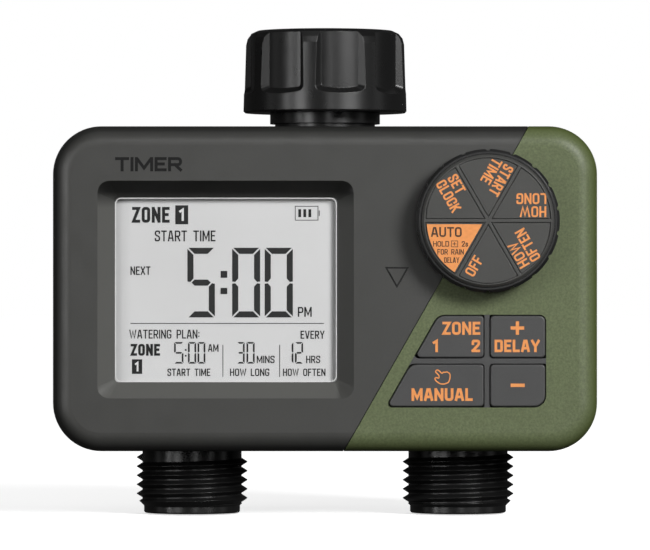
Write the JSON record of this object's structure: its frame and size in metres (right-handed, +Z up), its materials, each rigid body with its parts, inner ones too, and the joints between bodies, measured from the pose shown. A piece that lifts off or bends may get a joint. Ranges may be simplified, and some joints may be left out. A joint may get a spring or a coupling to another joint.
{
  "type": "watering timer",
  "caption": "Slanted two-tone battery watering timer with a hose-thread inlet nut on top, threaded outlets below, a display, a mode dial and a keypad.",
  "frame": {"origin": "centre of the inlet nut's mouth, where the tap's outlet enters", "axes": "+Z up along the inlet axis, +X right, +Y back; the display and dial face -Y"},
  "size_m": [0.1306, 0.06, 0.1174],
  "materials": {
    "charcoal_plastic": "fine satin texture",
    "green_plastic": "fine satin texture",
    "black_plastic": "satin",
    "gloss_black_plastic": "semi-gloss moulded",
    "grey_plastic": "satin",
    "white_plastic": "satin",
    "clear_plastic": "polished clear",
    "display_glass": "polished",
    "reflector_film": "matte white",
    "green_board": "solder mask",
    "seal_rubber": "matte",
    "silicone": "matte translucent",
    "membrane_rubber": "matte",
    "zinc_steel": "zinc plated",
    "spring_steel": "bright",
    "magnet_steel": "turned",
    "copper_enamel": "enamelled winding",
    "cell_jacket": "printed film",
    "wire_sleeve": "satin"
  },
  "bodies": {
    "housing": {"front_cover": "charcoal_plastic", "green_trim": "green_plastic", "rear_cover": "charcoal_plastic", "cover_seal": "seal_rubber", "cover_screws": "zinc_steel", "display_lens": "clear_plastic", "lens_gasket": "membrane_rubber", "lcd_glass": "display_glass", "lcd_reflector": "reflector_film", "lcd_holder": "white_plastic", "contact_strips": "silicone", "main_board": "green_board", "board_screws": "zinc_steel", "board_components": "black_plastic", "wire_connectors": "white_plastic", "dial_seal_ring": "seal_rubber", "rotary_switch": "grey_plastic", "button_surround": "grey_plastic", "keypad_membrane": "membrane_rubber", "push_switches": "black_plastic", "inlet_manifold": "gloss_black_plastic", "inlet_washer": "seal_rubber", "inlet_strainer": "white_plastic", "bonnet_screws": "zinc_steel", "port_o_rings": "seal_rubber", "battery_box": "black_plastic", "battery_cells": "cell_jacket", "battery_contacts": "spring_steel", "battery_springs": "spring_steel", "solenoid_wires": "wire_sleeve", "battery_wires": "wire_sleeve", "outlet_spigot_left": "gloss_black_plastic", "valve_body_left": "gloss_black_plastic", "diaphragm_left": "seal_rubber", "bonnet_left": "white_plastic", "plunger_spring_left": "spring_steel", "bobbin_left": "white_plastic", "coil_winding_left": "copper_enamel", "yoke_left": "zinc_steel", "outlet_spigot_right": "gloss_black_plastic", "valve_body_right": "gloss_black_plastic", "diaphragm_right": "seal_rubber", "bonnet_right": "white_plastic", "plunger_spring_right": "spring_steel", "bobbin_right": "white_plastic", "coil_winding_right": "copper_enamel", "yoke_right": "zinc_steel"},
    "inlet_nut": {"inlet_nut": "gloss_black_plastic"},
    "dial": {"dial_knob": "black_plastic", "dial_face": "grey_plastic"},
    "zone_button": {"zone_button": "grey_plastic"},
    "plus_button": {"plus_button": "grey_plastic"},
    "manual_button": {"manual_button": "grey_plastic"},
    "minus_button": {"minus_button": "grey_plastic"},
    "battery_door": {"battery_door": "charcoal_plastic", "battery_door_seal": "seal_rubber"},
    "plunger_left": {"plunger_left": "magnet_steel"},
    "valve_disc_left": {"valve_disc_left": "white_plastic"},
    "plunger_right": {"plunger_right": "magnet_steel"},
    "valve_disc_right": {"valve_disc_right": "white_plastic"}
  },
  "joints": [
    {"name": "nut_swivel", "type": "hinge", "parent": "housing", "child": "inlet_nut", "pos_m": [0, 0, -0.0128], "axis": [0, 0, 1], "continuous": true},
    {"name": "dial_turn", "type": "hinge", "parent": "housing", "child": "dial", "pos_m": [0.0388, -0.028, -0.0466], "axis": [0, 1, 0], "continuous": true},
    {"name": "zone_press", "type": "slide", "parent": "housing", "child": "zone_button", "axis": [0, 1, 0], "range_m": [0, 0.0008], "stiffness_N_per_m": 600, "deforming": ["keypad_membrane"]},
    {"name": "plus_press", "type": "slide", "parent": "housing", "child": "plus_button", "axis": [0, 1, 0], "range_m": [0, 0.0008], "stiffness_N_per_m": 600, "deforming": ["keypad_membrane"]},
    {"name": "manual_press", "type": "slide", "parent": "housing", "child": "manual_button", "axis": [0, 1, 0], "range_m": [0, 0.0008], "stiffness_N_per_m": 600, "deforming": ["keypad_membrane"]},
    {"name": "minus_press", "type": "slide", "parent": "housing", "child": "minus_button", "axis": [0, 1, 0], "range_m": [0, 0.0008], "stiffness_N_per_m": 600, "deforming": ["keypad_membrane"]},
    {"name": "battery_door_lift", "type": "slide", "parent": "housing", "child": "battery_door", "axis": [0, 1, 0], "range_m": [0, 0.03]},
    {"name": "plunger_left_slide", "type": "slide", "parent": "housing", "child": "plunger_left", "axis": [0, 1, 0], "range_m": [0, 0.0015], "stiffness_N_per_m": 150, "deforming": ["plunger_spring_left"]},
    {"name": "valve_disc_left_slide", "type": "slide", "parent": "housing", "child": "valve_disc_left", "axis": [0, 1, 0], "range_m": [0, 0.0012], "deforming": ["diaphragm_left"]},
    {"name": "plunger_right_slide", "type": "slide", "parent": "housing", "child": "plunger_right", "axis": [0, 1, 0], "range_m": [0, 0.0015], "stiffness_N_per_m": 150, "deforming": ["plunger_spring_right"]},
    {"name": "valve_disc_right_slide", "type": "slide", "parent": "housing", "child": "valve_disc_right", "axis": [0, 1, 0], "range_m": [0, 0.0012], "deforming": ["diaphragm_right"]}
  ],
  "couplings": [
    {"joint": "valve_disc_left_slide", "follows": "plunger_left_slide", "ratio": 0.8},
    {"joint": "valve_disc_right_slide", "follows": "plunger_right_slide", "ratio": 0.8}
  ]
}
